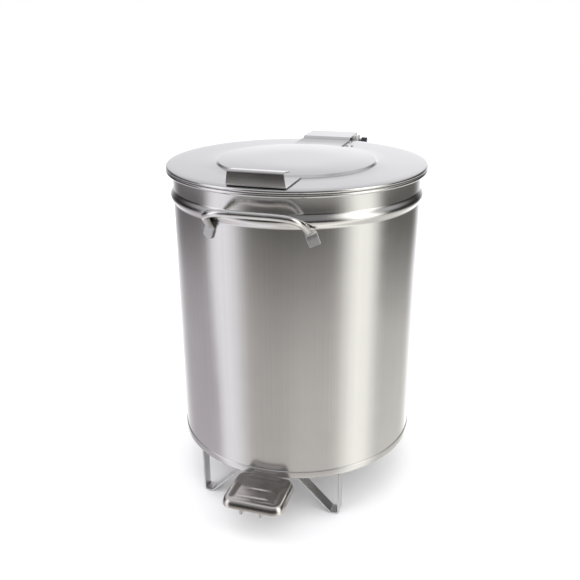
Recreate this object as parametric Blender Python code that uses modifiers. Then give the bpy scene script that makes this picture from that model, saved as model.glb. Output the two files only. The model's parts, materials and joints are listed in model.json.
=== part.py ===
"""Pedal-operated round waste bin in sheet stainless steel.

Metres, +Z up.  The origin is on the body's axis at floor level.  The pedal and
the carry handle face -Y, the lid's hinge and the lift rod are at +Y.
"""

import math

import bmesh
import bpy
from mathutils import Matrix, Vector

NAME = "waste_bin"
GAP = 0.0003                     # air left between pieces that touch
RUN = 0.00008                    # play of a turning or sliding fit
STEPS = 48                       # facets round the body, the lid and the bottom
PALE_NYLON = (0.75, 0.74, 0.70)

# Body and lid sheet
SHEET = 0.001
BODY_R = 0.190
BODY_BOTTOM_Z = 0.075
SEAM_Z = 0.086
HEM_R = 0.1908
RING_Z = 0.4777
RING_HALF_HEIGHT = 0.0098
RING_STANDOFF = 0.0045
RIM_R = 0.1970
RIM_Z = 0.5143
RIM_BEAD = 0.0027
LID_Z = 0.5226
LID_BEAD_R = 0.1972
LID_BEAD_Z = 0.5200
LID_BEAD = 0.0026
DISC_R = 0.1218
DISC_FOOT_R = 0.1243
DISC_Z = 0.5258

# Inner bucket
BUCKET_TOP_Z = 0.500
BUCKET_TOP_R = 0.176
BUCKET_BASE_R = 0.166
BUCKET_WALL = 0.002

# Legs: one bent flat bar at the front and one at the back
LEG_X = 0.1121
LEG_Y = 0.144
LEG_WIDTH = 0.020
LEG_THICK = 0.003
FOOT_INNER_X = 0.099

# Lid hinge and the finger that the lift rod pushes
HINGE_Y = 0.236
HINGE_Z = 0.516
HINGE_PIN_R = 0.003
PLATE_HALF = 0.042
PLATE_THICK = 0.002
PLATE_END_Y = 0.249
PLATE_TOP_Z = 0.5282
PLATE_STEP_Y = 0.1875             # where the hinge plate rises off the lid
EAR_X = 0.046
EAR_THICK = 0.0025
LID_OPEN = math.radians(75.0)

# Lift rod
ROD_Y = 0.212
ROD_R = 0.0035
ROD_CAP_R = 0.005
ROD_CAP_GAP = 0.0014             # play under the finger when the lid is shut
ROD_CAP_Z = HINGE_Z - (HINGE_Y - ROD_Y) * math.tan(LID_OPEN / 2)
BUSH_R = 0.0062

# Pedal lever
PIVOT_Y = -0.020
PIVOT_Z = 0.040
AXLE_R = 0.004
ROD_PIN_R = 0.003
ROD_PIN_Z = PIVOT_Z - (HINGE_Y - ROD_Y) * math.tan(LID_OPEN / 2)
ARM_X = 0.0155
ARM_THICK = 0.004
PAD_WIDTH = 0.096
PAD_FRONT_Y = -0.248
PAD_BACK_Y = -0.165
PAD_TOP_Z = 0.0615
PAD_HEIGHT = 0.012
PAD_CORNER = 0.015
PAD_DISH = 0.0045
PAD_SHEET = 0.0015
PAD_RIBS = ((-0.2045, -0.034, 0.021), (-0.2255, -0.032, 0.018))

# Grip on the lid and carry handle on the wall
GRIP_FACE_Y = -0.1912
GRIP_TOP_Z = 0.5460
GRIP_FLANGE = 0.0245
GRIP_DROP = 0.0035               # the top flange slopes down to its back edge
GRIP_TAPER = 3.1                 # narrowing of the upstand, in parts per metre of height
GRIP_THICK = 0.0015
HANDLE_R = 0.005
HANDLE_BAR_Y = -0.222
HANDLE_BAR_Z = 0.4940
TAB_TURN = math.radians(22.8)
TAB_TILT = math.radians(21.0)
TAB_THICK = 0.004
TAB_Z = 0.4555


# ---------------------------------------------------------------- helpers

def clear_scene():
    for obj in list(bpy.data.objects):
        bpy.data.objects.remove(obj)


def collection(name):
    found = bpy.data.collections.get(name)
    if found is None:
        found = bpy.data.collections.new(name)
        bpy.context.scene.collection.children.link(found)
    return found


def material(name, colour, metallic, roughness):
    found = bpy.data.materials.get(name)
    if found is None:
        found = bpy.data.materials.new(name)
        found.use_nodes = True
        shader = found.node_tree.nodes["Principled BSDF"]
        shader.inputs["Base Color"].default_value = (*colour, 1.0)
        shader.inputs["Metallic"].default_value = metallic
        shader.inputs["Roughness"].default_value = roughness
    return found


def steel(name, roughness=0.22):
    return material(name, (0.62, 0.62, 0.61), 1.0, roughness)


def plastic(name, colour=(0.03, 0.03, 0.032)):
    return material(name, colour, 0.0, 0.5)


def add_object(name, data, mat=None, group=NAME):
    obj = bpy.data.objects.new(name, data)
    collection(group).objects.link(obj)
    if mat is not None:
        data.materials.append(mat)
    return obj


def mesh_from_bmesh(name, bm):
    mesh = bpy.data.meshes.new(name)
    bm.to_mesh(mesh)
    bm.free()
    return mesh


def arc(cx, cz, radius, start_deg, end_deg, segments):
    """Points on an arc, both ends included."""
    points = []
    for i in range(segments + 1):
        angle = math.radians(start_deg + (end_deg - start_deg) * i / segments)
        points.append((cx + radius * math.cos(angle), cz + radius * math.sin(angle)))
    return points


def round_corners(points, radius, segments=3, closed=False):
    """Replace each corner of a polyline by an arc of the given radius."""
    count = len(points)
    out = []
    for i, here in enumerate(points):
        if not closed and i in (0, count - 1):
            out.append(tuple(here))
            continue
        corner = Vector(here)
        back = Vector(points[i - 1]) - corner
        ahead = Vector(points[(i + 1) % count]) - corner
        angle = back.angle(ahead)
        reach = radius / math.tan(angle / 2)
        reach = min(reach, 0.49 * back.length, 0.49 * ahead.length)
        true_radius = reach * math.tan(angle / 2)
        centre = corner + (back.normalized() + ahead.normalized()).normalized() \
            * (true_radius / math.sin(angle / 2))
        first = corner + back.normalized() * reach - centre
        last = corner + ahead.normalized() * reach - centre
        for k in range(segments + 1):
            mix = first.lerp(last, k / segments)
            if mix.length < 1e-9:
                mix = first
            spread = first.angle(last)
            weight_a = math.sin(spread * (1 - k / segments)) / math.sin(spread)
            weight_b = math.sin(spread * k / segments) / math.sin(spread)
            out.append(tuple(centre + first * weight_a + last * weight_b))
    return out


def turned(name, profile, mat, wall=None, steps=STEPS, centre=(0, 0), group=NAME):
    """Turn a profile of (radius, z) about the vertical line through centre.

    With a wall thickness the profile is an open skin that gets its thickness
    inwards; without one it is a closed outline.  It runs down its outer side.
    """
    bm = bmesh.new()
    verts = [bm.verts.new((r, 0.0, z)) for r, z in profile]
    for a, b in zip(verts, verts[1:]):
        bm.edges.new((a, b))
    if wall is None and profile[0][0] > 1e-6:
        bm.edges.new((verts[-1], verts[0]))
    obj = add_object(name, mesh_from_bmesh(name, bm), mat, group)
    obj.location = (centre[0], centre[1], 0.0)
    screw = obj.modifiers.new("turn", "SCREW")
    screw.angle = 2 * math.pi
    screw.steps = steps
    screw.render_steps = steps
    screw.use_merge_vertices = True
    screw.merge_threshold = 0.00001
    screw.use_smooth_shade = True
    if wall is not None:
        solidify = obj.modifiers.new("sheet", "SOLIDIFY")
        solidify.thickness = wall
        solidify.offset = -1.0
        solidify.use_even_offset = True
    return obj


def turned_across(name, profile, mat, centre, steps=24, group=NAME):
    """A turned piece whose axis runs along X; profile is (radius, x)."""
    obj = turned(name, profile, mat, steps=steps, group=group)
    obj.location = centre
    obj.rotation_euler = (0.0, math.pi / 2, 0.0)
    return obj


def cylinder_profile(radius, low, high):
    return [(0.0, high), (radius, high), (radius, low), (0.0, low)]


def tube_profile(inner, outer, low, high):
    return [(outer, high), (outer, low), (inner, low), (inner, high)]


def to_mesh_object(obj):
    """Swap a curve object for a welded mesh object in the same place."""
    bpy.context.view_layer.update()
    graph = bpy.context.evaluated_depsgraph_get()
    evaluated = obj.evaluated_get(graph)
    mesh = bpy.data.meshes.new_from_object(evaluated)
    bm = bmesh.new()
    bm.from_mesh(mesh)
    bmesh.ops.remove_doubles(bm, verts=bm.verts, dist=0.000001)
    bmesh.ops.recalc_face_normals(bm, faces=bm.faces)
    bm.to_mesh(mesh)
    bm.free()
    name = obj.name
    matrix = obj.matrix_world.copy()
    home = obj.users_collection[0]
    curve = obj.data
    bpy.data.objects.remove(obj)
    bpy.data.curves.remove(curve)
    swapped = bpy.data.objects.new(name, mesh)
    mesh.name = name
    home.objects.link(swapped)
    swapped.matrix_world = matrix
    return swapped


YZ_PLANE = Matrix(((0, 0, 1, 0), (1, 0, 0, 0), (0, 1, 0, 0), (0, 0, 0, 1)))
XY_PLANE = Matrix.Identity(4)


def plate(name, outline, thickness, mat, plane, offset, group=NAME):
    """A flat plate from an outline in a plane, centred at offset along its normal."""
    curve = bpy.data.curves.new(name, "CURVE")
    curve.dimensions = "2D"
    curve.fill_mode = "BOTH"
    curve.extrude = thickness / 2
    spline = curve.splines.new("POLY")
    spline.points.add(len(outline) - 1)
    for point, (a, b) in zip(spline.points, outline):
        point.co = (a, b, 0.0, 1.0)
    spline.use_cyclic_u = True
    obj = add_object(name, curve, mat, group)
    obj.matrix_world = plane @ Matrix.Translation((0, 0, offset))
    return to_mesh_object(obj)


def bent_sheet(name, path, thickness, mat, low, high, along):
    """A strip of sheet: a centre-line path carried from low to high along an axis."""
    bm = bmesh.new()
    first = []
    for a, b in path:
        co = (low, a, b) if along == "X" else (a, low, b)
        first.append(bm.verts.new(co))
    edges = [bm.edges.new(pair) for pair in zip(first, first[1:])]
    shift = Vector((high - low, 0, 0)) if along == "X" else Vector((0, high - low, 0))
    moved = bmesh.ops.extrude_edge_only(bm, edges=edges)["geom"]
    verts = [item for item in moved if isinstance(item, bmesh.types.BMVert)]
    bmesh.ops.translate(bm, verts=verts, vec=shift)
    obj = add_object(name, mesh_from_bmesh(name, bm), mat)
    solidify = obj.modifiers.new("sheet", "SOLIDIFY")
    solidify.thickness = thickness
    solidify.offset = 0.0
    solidify.use_even_offset = True
    return obj


def rod(name, points, radius, mat, sides=2):
    """A round bar along a list of points."""
    curve = bpy.data.curves.new(name, "CURVE")
    curve.dimensions = "3D"
    curve.bevel_depth = radius
    curve.bevel_resolution = sides
    curve.use_fill_caps = True
    spline = curve.splines.new("POLY")
    spline.points.add(len(points) - 1)
    for point, co in zip(spline.points, points):
        point.co = (*co, 1.0)
    obj = add_object(name, curve, mat)
    return to_mesh_object(obj)


def combine(obj, other, operation):
    """Join other to obj, or cut it away; other becomes a hidden guide."""
    for home in list(other.users_collection):
        home.objects.unlink(other)
    collection("cutters").objects.link(other)
    other.hide_render = True
    other.display_type = "WIRE"
    step = obj.modifiers.new(other.name, "BOOLEAN")
    step.operation = operation
    step.solver = "EXACT"
    step.object = other


def cut(obj, other):
    combine(obj, other, "DIFFERENCE")


def join(obj, other):
    combine(obj, other, "UNION")


# ---------------------------------------------------------------- body

def build_body_shell():
    """Wall with its rolled top rim, stiffening ring and bottom hem, one sheet."""
    curl = RIM_BEAD - SHEET
    profile = arc(RIM_R, RIM_Z, curl, 200, 450, 7)
    profile += [(BODY_R + 0.0012, RIM_Z + curl - 0.0003)]
    profile += [(BODY_R, RIM_Z - 0.0012)]
    ring_top = RING_Z + RING_HALF_HEIGHT
    profile += [(BODY_R, ring_top)]
    for i in range(1, 6):
        angle = math.pi * i / 6
        profile.append((BODY_R + RING_STANDOFF * math.sin(angle) ** 2,
                        RING_Z + RING_HALF_HEIGHT * math.cos(angle)))
    profile += [(BODY_R, RING_Z - RING_HALF_HEIGHT)]
    profile += [(BODY_R, SEAM_Z + 0.0012), (HEM_R, SEAM_Z)]
    profile += [(HEM_R, BODY_BOTTOM_Z)]
    return turned("body_shell", profile, steel("body_sheet"), wall=SHEET)


def build_bottom_pan():
    """Pressed bottom with an upturned flange inside the hem."""
    outer = BODY_R - SHEET - 0.0005
    floor_z = BODY_BOTTOM_Z + GAP
    profile = [(outer, SEAM_Z - 0.0005), (outer, floor_z + 0.0022)]
    profile += [(outer - 0.0007, floor_z + 0.0007), (outer - 0.0022, floor_z)]
    profile += [(0.0, floor_z)]
    return turned("bottom_pan", profile, steel("bottom_sheet", 0.3), wall=SHEET)


def build_inner_bucket():
    """Lift-out bucket that stands on the bottom pan."""
    base_z = BODY_BOTTOM_Z + SHEET + 3 * GAP
    rim = BUCKET_TOP_R + 0.006
    profile = [(rim, BUCKET_TOP_Z - 0.008), (rim, BUCKET_TOP_Z)]
    profile += [(BUCKET_TOP_R, BUCKET_TOP_Z)]
    profile += [(BUCKET_BASE_R, base_z + 0.006), (BUCKET_BASE_R - 0.006, base_z)]
    profile += [(0.0, base_z)]
    mat = plastic("bucket_plastic", (0.12, 0.13, 0.14))
    return turned("inner_bucket", profile, mat, wall=BUCKET_WALL)


def build_leg_bar(name, side):
    """Flat bar bent into an upright, a foot and a strut on each side."""
    top_z = BODY_BOTTOM_Z - GAP
    middle_z = top_z - LEG_THICK / 2
    foot_z = LEG_THICK / 2
    strut_top_x = FOOT_INNER_X - (middle_z - foot_z)
    half = [(LEG_X, top_z), (LEG_X, foot_z), (FOOT_INNER_X, foot_z), (strut_top_x, middle_z)]
    path = half + [(-x, z) for x, z in reversed(half)]
    path = round_corners(path, 0.004, 3)
    middle = side * LEG_Y
    return bent_sheet(name, path, LEG_THICK, steel("leg_bar", 0.3),
                      middle - LEG_WIDTH / 2, middle + LEG_WIDTH / 2, "Y")


def handle_path():
    """Half of the carry handle's centre line, from the tab to the middle."""
    bend = 0.024
    bar_x = 0.066
    start = Vector((0.0722, -0.1818, 0.4630))
    leave = Vector((0.0706, -0.1878, 0.4690))
    corner = Vector((bar_x, HANDLE_BAR_Y, HANDLE_BAR_Z))
    run_in = (leave - corner).normalized()
    points = [start, leave]
    first = corner + run_in * bend
    last = corner + Vector((-bend, 0, 0))
    for k in range(7):
        t = k / 6
        points.append((1 - t) ** 2 * first + 2 * t * (1 - t) * corner + t ** 2 * last)
    points.append(Vector((0.0, HANDLE_BAR_Y, HANDLE_BAR_Z)))
    return points


def build_carry_handle():
    """Round bar with flattened ends that are welded to the wall below the ring."""
    half = handle_path()
    path = [Vector((-p.x, p.y, p.z)) for p in half] + list(reversed(half))[1:]
    obj = rod("carry_handle", path, HANDLE_R, steel("handle_bar", 0.25))
    for side in (-1, 1):
        outline = round_corners([(-0.007, -0.010), (0.007, -0.010), (0.006, 0.011),
                                 (-0.006, 0.011)], 0.003, 2, closed=True)
        tab = plate("handle_tab", outline, TAB_THICK, None, XY_PLANE, 0.0)
        radius = BODY_R + GAP + TAB_THICK / 2
        place = Matrix.Rotation(side * TAB_TURN, 4, "Z")
        place = place @ Matrix.Translation((0.0, -radius, TAB_Z))
        place = place @ Matrix.Rotation(math.pi / 2, 4, "X")
        place = place @ Matrix.Rotation(side * TAB_TILT, 4, "Z")
        tab.matrix_world = place
        join(obj, tab)
    return obj


# ---------------------------------------------------------------- hinge and guides

def wall_cutter(name, low, high, radius=BODY_R + GAP):
    """The body's outside, used to trim what is welded to it."""
    return turned(name, cylinder_profile(radius, low, high), None, group="cutters")


def pin_hole(name, radius, centre, half_length, steps=24):
    profile = cylinder_profile(radius, -half_length, half_length)
    return turned_across(name, profile, None, centre, steps, group="cutters")


def upright_hole(name, radius, centre, low, high):
    return turned(name, cylinder_profile(radius, low, high), None, steps=24,
                  centre=centre, group="cutters")


def build_body_hinge_bracket():
    """Channel on the wall: a shelf that guides the rod, and an ear at each side."""
    shelf_z = 0.488
    outer_x = EAR_X + EAR_THICK
    shelf_y = 0.238
    low_y = 0.180
    shelf = [(-outer_x, low_y), (outer_x, low_y), (outer_x, shelf_y), (-outer_x, shelf_y)]
    obj = plate("body_hinge_bracket", shelf, EAR_THICK, steel("hinge_bracket", 0.3),
                XY_PLANE, shelf_z + EAR_THICK / 2)
    ear = [(low_y, shelf_z), (shelf_y, shelf_z)]
    ear += arc(HINGE_Y, HINGE_Z, 0.0095, -15, 150, 7)
    ear += [(0.214, 0.5055), (low_y, 0.5055)]
    for side in (-1, 1):
        cheek = plate("hinge_ear", ear, EAR_THICK, None, YZ_PLANE,
                      side * (EAR_X + EAR_THICK / 2))
        join(obj, cheek)
    cut(obj, wall_cutter("wall_behind_bracket", 0.480, 0.510))
    cut(obj, pin_hole("hinge_pin_hole", HINGE_PIN_R + GAP, (0, HINGE_Y, HINGE_Z), 0.060))
    cut(obj, upright_hole("bush_hole_top", BUSH_R + GAP, (0, ROD_Y), 0.480, 0.500))
    return obj


def build_rod_guide():
    """Angle on the wall near the floor, with a hole for the lower bush."""
    shelf_top = 0.1205
    half = 0.014
    path = round_corners([(0.1921, 0.104), (0.1921, shelf_top - 0.00125),
                          (0.224, shelf_top - 0.00125)], 0.003, 3)
    obj = bent_sheet("lower_rod_guide", path, 0.0025, steel("rod_guide", 0.3),
                     -half, half, "X")
    cut(obj, wall_cutter("wall_behind_guide", 0.095, 0.130))
    cut(obj, upright_hole("bush_hole_low", BUSH_R + GAP, (0, ROD_Y), 0.110, 0.130))
    return obj


def build_guide_bush(name, shelf_top):
    """Flanged nylon bush that the lift rod runs in."""
    inner = ROD_R + RUN
    flange = shelf_top + GAP
    profile = [(0.0085, flange + 0.0015), (0.0085, flange), (BUSH_R, flange)]
    profile += [(BUSH_R, shelf_top - 0.0055), (inner, shelf_top - 0.0055)]
    profile += [(inner, flange + 0.0015)]
    return turned(name, profile, plastic("bush_nylon", PALE_NYLON), steps=20,
                  centre=(0, ROD_Y))


def build_hinge_pin():
    """Headed pin across both ears."""
    left = -(EAR_X + EAR_THICK + GAP)
    right = 0.0632
    profile = [(0.0, right), (HINGE_PIN_R - 0.0005, right), (HINGE_PIN_R, right - 0.0005)]
    profile += [(HINGE_PIN_R, left), (0.0055, left), (0.0055, left - 0.002)]
    profile += [(0.0045, left - 0.003), (0.0, left - 0.003)]
    return turned_across("hinge_pin", profile, steel("hinge_pin", 0.2),
                         (0, HINGE_Y, HINGE_Z))


def ring_across(name, mat, centre, inner, outer, low, high, sides=24):
    """A ring whose axis runs along X, from low to high beside its centre."""
    return turned_across(name, tube_profile(inner, outer, low, high), mat, centre, sides)


def ring_pair(name, mat, centre, inner, outer, low, high, sides=24):
    """Two equal rings, one at each side of the bin's middle plane."""
    return [ring_across(name + "_left", mat, centre, inner, outer, -high, -low, sides),
            ring_across(name + "_right", mat, centre, inner, outer, low, high, sides)]


def build_hinge_washers():
    return ring_pair("hinge_washer", plastic("washer_nylon", PALE_NYLON),
                     (0, HINGE_Y, HINGE_Z), HINGE_PIN_R + GAP, 0.0065,
                     PLATE_HALF + GAP, EAR_X - GAP)


def hexagon(across_flats, centre=(0.0, 0.0)):
    radius = across_flats / math.sqrt(3)
    return [(centre[0] + radius * math.cos(math.radians(60 * i)),
             centre[1] + radius * math.sin(math.radians(60 * i))) for i in range(6)]


def build_hinge_nuts():
    """Nut and lock nut on the pin's right-hand end."""
    first = EAR_X + EAR_THICK + 0.0040
    thick = 0.0045
    for name, low in (("hinge_nut", first), ("hinge_lock_nut", first + thick + 0.0008)):
        obj = plate(name, hexagon(0.0105, (HINGE_Y, HINGE_Z)), thick, plastic("nut_black"),
                    YZ_PLANE, low + thick / 2)
        cut(obj, pin_hole(name + "_hole", HINGE_PIN_R + GAP, (0, HINGE_Y, HINGE_Z), 0.080))


# ---------------------------------------------------------------- lid

def build_lid_panel():
    """Flat lid with a raised disc and a rolled edge, one sheet."""
    profile = [(0.0, DISC_Z), (DISC_R - 0.001, DISC_Z), (DISC_R + 0.0004, DISC_Z - 0.0005)]
    profile += [(DISC_FOOT_R - 0.0006, LID_Z + 0.0005), (DISC_FOOT_R + 0.0008, LID_Z)]
    profile += [(0.1920, LID_Z)]
    profile += arc(LID_BEAD_R, LID_BEAD_Z, LID_BEAD, 90, -75, 6)
    return turned("lid_panel", profile, steel("lid_sheet"), wall=SHEET)


def disc_cutter(name):
    """Room for the raised disc, cut out of what lies on the lid beside it."""
    return turned(name, cylinder_profile(DISC_FOOT_R + 0.0012, 0.515, 0.535), None,
                  group="cutters")


def build_lid_grip():
    """Bent sheet: a flange on the lid, an upstand at the rim and a top flange."""
    lie = LID_Z + GAP + GRIP_THICK / 2
    top = GRIP_TOP_Z - GRIP_THICK / 2
    path = [(-0.105, lie), (GRIP_FACE_Y, lie), (GRIP_FACE_Y, top),
            (GRIP_FACE_Y + GRIP_FLANGE, top - GRIP_DROP)]
    path = round_corners(path, 0.003, 3)
    obj = bent_sheet("lid_grip", path, GRIP_THICK, steel("grip_sheet", 0.3),
                     -PLATE_HALF, PLATE_HALF, "X")
    for vertex in obj.data.vertices:
        vertex.co.x *= 1.0 - GRIP_TAPER * (vertex.co.z - lie)
    cut(obj, disc_cutter("disc_beside_grip"))
    return obj


def build_lid_hinge_plate():
    """Bent sheet on the lid that reaches back to the hinge pin."""
    lie = LID_Z + GAP + PLATE_THICK / 2
    top = PLATE_TOP_Z - PLATE_THICK / 2
    path = [(0.105, lie), (PLATE_STEP_Y - 0.002, lie), (PLATE_STEP_Y + 0.001, top),
            (PLATE_END_Y, top)]
    path = round_corners(path, 0.0025, 2)
    obj = bent_sheet("lid_hinge_plate", path, PLATE_THICK, steel("hinge_plate", 0.3),
                     -PLATE_HALF, PLATE_HALF, "X")
    low = HINGE_Z - 0.0095
    cheek = [(0.206, top), (0.211, low + 0.006), (0.219, low), (0.242, low),
             (0.248, low + 0.006), (PLATE_END_Y - 0.0002, top)]
    for side in (-1, 1):
        wing = plate("plate_wing", cheek, PLATE_THICK, None, YZ_PLANE,
                     side * (PLATE_HALF - PLATE_THICK / 2 - 0.00001))
        join(obj, wing)
    cut(obj, disc_cutter("disc_beside_plate"))
    cut(obj, pin_hole("plate_pin_hole", HINGE_PIN_R + RUN, (0, HINGE_Y, HINGE_Z), 0.055))
    return obj


def build_lift_finger():
    """Finger under the hinge plate; the rod's cap pushes its slanted edge."""
    half = LID_OPEN / 2
    along = Vector((-math.cos(half), -math.sin(half)))
    out = Vector((-math.sin(half), math.cos(half)))
    pivot = Vector((HINGE_Y, HINGE_Z))
    edge = pivot + out * (ROD_CAP_R + ROD_CAP_GAP)
    top = PLATE_TOP_Z - PLATE_THICK - GAP
    tip = edge + along * 0.033
    heel = edge + along * 0.009
    outline = [tuple(heel), (heel.x, top), (0.207, top), tuple(tip + out * 0.004), tuple(tip)]
    return plate("lift_finger", outline, 0.010, steel("finger_bar", 0.3), YZ_PLANE, 0.0)


def build_lid_rivets():
    """Two small flat-topped heads on the lid beside the hinge plate."""
    low = LID_Z + GAP
    profile = [(0.0, low + 0.0011), (0.0014, low + 0.0009), (0.0022, low + 0.0003)]
    profile += [(0.0022, low), (0.0, low)]
    return [turned(name, profile, steel("rivet", 0.4), steps=12, centre=(x, 0.139))
            for name, x in (("lid_rivet_inner", 0.0475), ("lid_rivet_outer", 0.0560))]


# ---------------------------------------------------------------- lift rod

def build_lift_rod():
    profile = cylinder_profile(ROD_R, ROD_PIN_Z + 0.0127, ROD_CAP_Z - ROD_CAP_R + 0.0006)
    return turned("lift_rod", profile, steel("rod_bar", 0.25), steps=20, centre=(0, ROD_Y))


def build_rod_cap():
    """Domed nylon cap on the rod's top."""
    low = ROD_CAP_Z - ROD_CAP_R + 0.0009
    dome = arc(0.0, ROD_CAP_Z, ROD_CAP_R, 90, 0, 5)
    profile = [(0.0, ROD_CAP_Z + ROD_CAP_R)] + dome[1:]
    profile += [(ROD_CAP_R, low), (0.0, low)]
    return turned("rod_cap", profile, plastic("cap_nylon"), steps=20, centre=(0, ROD_Y))


def build_rod_eye():
    """Eye at the rod's foot; its hole is wide, because the pin moves on an arc."""
    outline = arc(ROD_Y, ROD_PIN_Z, 0.008, 180, 360, 8)
    outline += [(ROD_Y + 0.008, ROD_PIN_Z + 0.0124), (ROD_Y - 0.008, ROD_PIN_Z + 0.0124)]
    obj = plate("rod_eye", outline, 0.012, steel("rod_eye", 0.35), YZ_PLANE, 0.0)
    cut(obj, pin_hole("eye_hole", ROD_PIN_R + 0.0012, (0, ROD_Y, ROD_PIN_Z), 0.010))
    return obj


def build_rod_lock_nut():
    """Hexagon nut that locks the rod in its eye."""
    bottom = ROD_PIN_Z + 0.0130
    obj = plate("rod_lock_nut", hexagon(0.013), 0.005, steel("nut_steel", 0.3),
                Matrix.Translation((0, ROD_Y, 0)), bottom + 0.0025)
    cut(obj, upright_hole("lock_nut_hole", ROD_R + GAP, (0, ROD_Y), bottom - 0.01,
                          bottom + 0.015))
    return obj


# ---------------------------------------------------------------- pedal

def rounded_rectangle(low_x, high_x, low_y, high_y, radius, segments=4):
    corners = [(low_x, low_y), (high_x, low_y), (high_x, high_y), (low_x, high_y)]
    return round_corners(corners, radius, segments, closed=True)


def pad_outline(inset, radius):
    half = PAD_WIDTH / 2 - inset
    return rounded_rectangle(-half, half, PAD_FRONT_Y + inset, PAD_BACK_Y - inset, radius)


def build_pedal_pad():
    """Dished tread with a raised edge, a skirt and two cross ribs."""
    low = PAD_TOP_Z - PAD_HEIGHT
    tread = PAD_TOP_Z - PAD_DISH
    obj = plate("pedal_pad", pad_outline(0.0, PAD_CORNER), PAD_HEIGHT,
                steel("pedal_sheet"), XY_PLANE, (PAD_TOP_Z + low) / 2)
    dish = plate("pad_dish", pad_outline(0.0042, PAD_CORNER - 0.0042), 0.010, None,
                 XY_PLANE, tread + 0.005, group="cutters")
    hollow = plate("pad_hollow", pad_outline(PAD_SHEET, PAD_CORNER - PAD_SHEET), 0.020, None,
                   XY_PLANE, tread - PAD_SHEET - 0.010, group="cutters")
    cut(obj, dish)
    cut(obj, hollow)
    for y, low_x, high_x in PAD_RIBS:
        outline = rounded_rectangle(low_x, high_x, y - 0.0022, y + 0.0022, 0.002, 2)
        rib = plate("pad_rib", outline, 0.0022, None, XY_PLANE, tread + 0.0006)
        join(obj, rib)
    return obj


def build_lever_arm(name, side):
    """Flat bar on edge, from under the tread to the rod's pin."""
    top = PAD_TOP_Z - PAD_HEIGHT - GAP
    outline = [(PAD_FRONT_Y + 0.003, top - 0.0095), (PAD_FRONT_Y + 0.003, top)]
    outline += [(-0.155, top), (PIVOT_Y, PIVOT_Z + 0.008)]
    outline += arc(ROD_Y, ROD_PIN_Z, 0.0075, 85, -95, 8)
    outline += [(PIVOT_Y, PIVOT_Z - 0.008), (-0.155, top - 0.0095)]
    obj = plate(name, outline, ARM_THICK, steel("lever_bar", 0.3), YZ_PLANE, side * ARM_X)
    cut(obj, pin_hole(name + "_axle_hole", AXLE_R + RUN, (0, PIVOT_Y, PIVOT_Z), 0.030))
    cut(obj, pin_hole(name + "_pin_hole", ROD_PIN_R + GAP, (0, ROD_Y, ROD_PIN_Z), 0.030))
    return obj


def build_pivot_tube():
    """Spacer tube between the two lever arms, round the axle."""
    half = ARM_X - ARM_THICK / 2 - GAP
    return ring_across("pivot_tube", steel("pivot_tube", 0.35), (0, PIVOT_Y, PIVOT_Z),
                       AXLE_R + RUN, 0.007, -half, half)


def build_pedal_hanger():
    """Channel under the bottom that carries the axle."""
    top = BODY_BOTTOM_Z - GAP
    thick = 0.003
    ear = 0.022
    path = [(-ear, PIVOT_Z - 0.010), (-ear, top - thick / 2),
            (ear, top - thick / 2), (ear, PIVOT_Z - 0.010)]
    path = round_corners(path, 0.004, 3)
    obj = bent_sheet("pedal_hanger", path, thick, steel("hanger", 0.3),
                     PIVOT_Y - 0.014, PIVOT_Y + 0.014, "Y")
    cut(obj, pin_hole("hanger_hole", AXLE_R + GAP, (0, PIVOT_Y, PIVOT_Z), 0.040))
    return obj


def build_pedal_axle():
    half = 0.0275
    profile = [(0.0, half), (AXLE_R - 0.0006, half), (AXLE_R, half - 0.0006)]
    profile += [(AXLE_R, -half + 0.0006), (AXLE_R - 0.0006, -half), (0.0, -half)]
    return turned_across("pedal_axle", profile, steel("axle", 0.2), (0, PIVOT_Y, PIVOT_Z))


def build_axle_clips():
    return ring_pair("axle_clip", steel("clip", 0.4), (0, PIVOT_Y, PIVOT_Z),
                     AXLE_R + GAP, 0.0072, 0.0238, 0.0250, sides=16)


def build_pivot_washers():
    return ring_pair("pivot_washer", plastic("washer_nylon", PALE_NYLON),
                     (0, PIVOT_Y, PIVOT_Z), AXLE_R + GAP, 0.0072,
                     ARM_X + ARM_THICK / 2 + GAP, 0.0205 - GAP)


def build_rod_pin():
    half = 0.0225
    profile = [(0.0, half), (ROD_PIN_R - 0.0005, half), (ROD_PIN_R, half - 0.0005)]
    profile += [(ROD_PIN_R, -half + 0.0005), (ROD_PIN_R - 0.0005, -half), (0.0, -half)]
    return turned_across("rod_pin", profile, steel("rod_pin", 0.2), (0, ROD_Y, ROD_PIN_Z))


def build_rod_pin_clips():
    inner = ARM_X + ARM_THICK / 2 + GAP
    return ring_pair("rod_pin_clip", steel("clip", 0.4), (0, ROD_Y, ROD_PIN_Z),
                     ROD_PIN_R + GAP, 0.0060, inner, inner + 0.0012, sides=16)


# ---------------------------------------------------------------- joints and assembly

def pivot_empty(name, place, children):
    """An empty on a joint's axis that carries the pieces that move with it."""
    empty = bpy.data.objects.new(name, None)
    empty.location = place
    collection(NAME).objects.link(empty)
    bpy.context.view_layer.update()
    for child in children:
        world = child.matrix_world.copy()
        child.parent = empty
        child.matrix_parent_inverse = empty.matrix_world.inverted()
        child.matrix_world = world


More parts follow.
